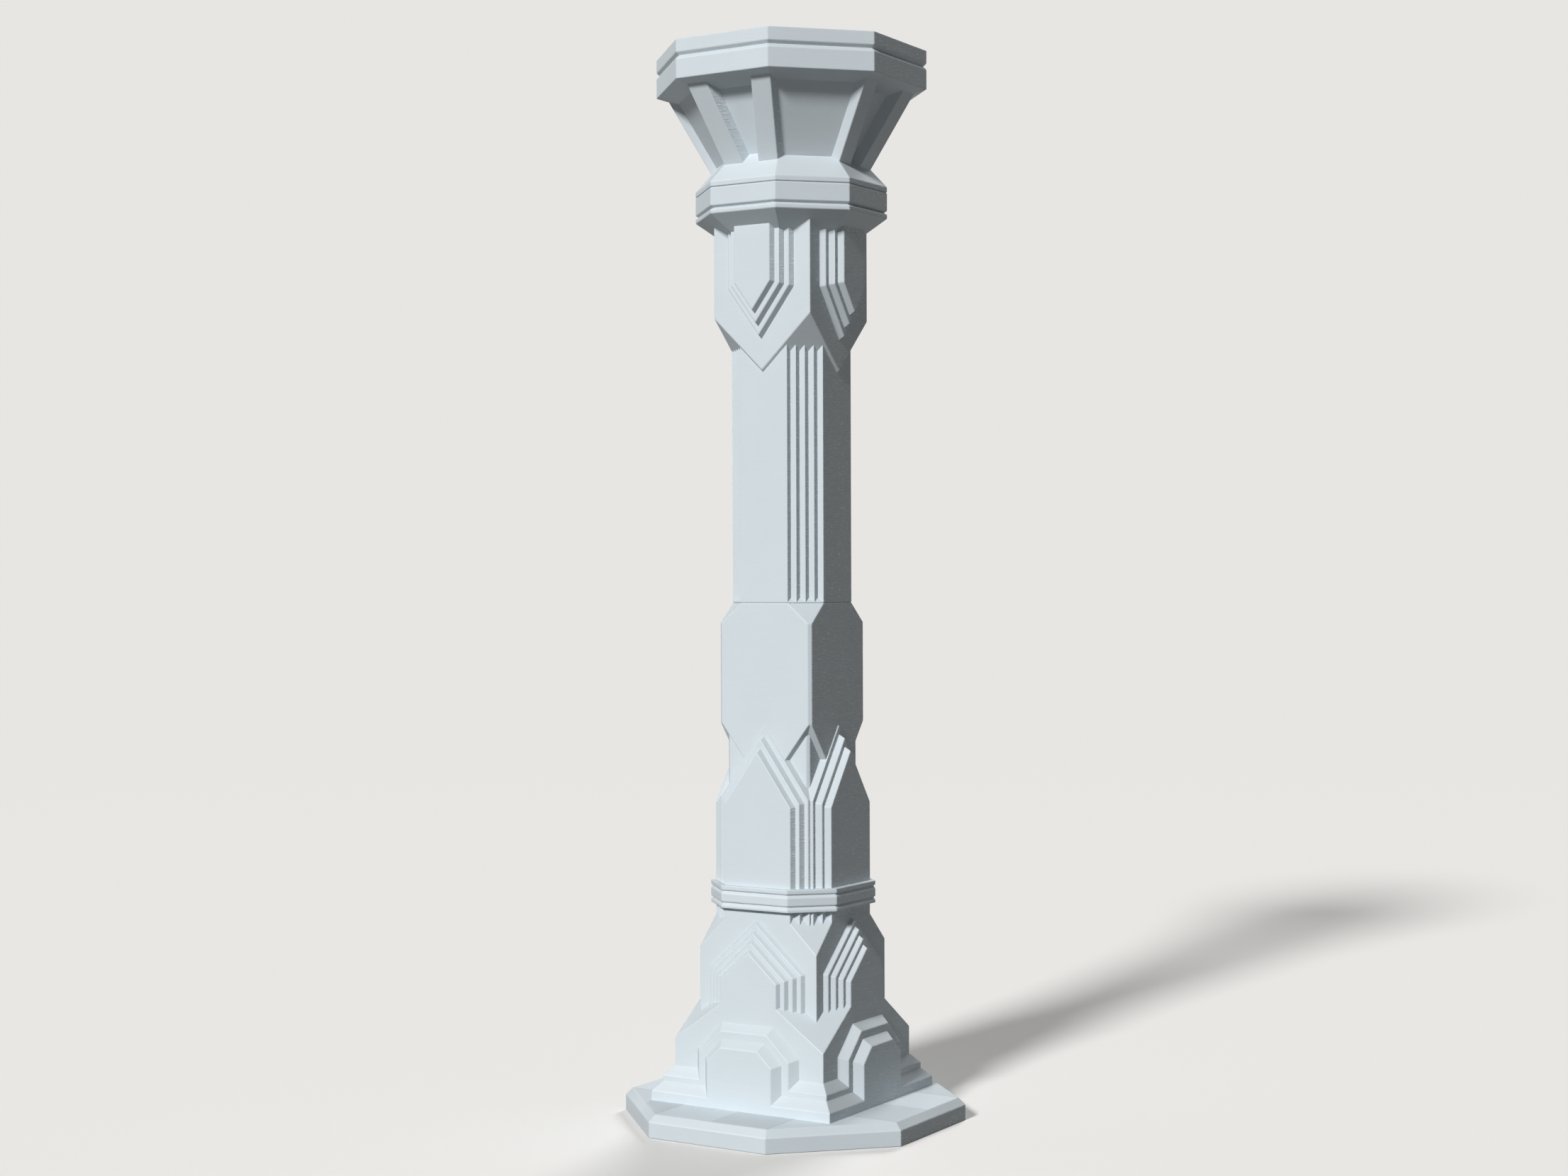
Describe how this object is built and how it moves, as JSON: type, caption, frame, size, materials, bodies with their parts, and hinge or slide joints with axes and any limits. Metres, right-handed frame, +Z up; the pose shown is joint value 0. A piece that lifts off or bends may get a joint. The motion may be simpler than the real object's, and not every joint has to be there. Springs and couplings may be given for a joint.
{
  "type": "decorative column model",
  "caption": "Printed decorative column with an octagonal base plate, stepped arches, nested gables, a fluted shaft and a spreading octagonal capital, in two stacked sections.",
  "frame": {"origin": "centre of the underside of the base plate", "axes": "+Z up along the column's axis; the four faces look along +X, -X, +Y and -Y"},
  "size_m": [0.1382, 0.1382, 0.46],
  "materials": {
    "lower_plastic": "satin, with fine horizontal layer lines",
    "upper_plastic": "satin, with fine horizontal layer lines"
  },
  "bodies": {
    "root": {"lower_section": "lower_plastic", "upper_section": "upper_plastic"}
  },
  "joints": []
}
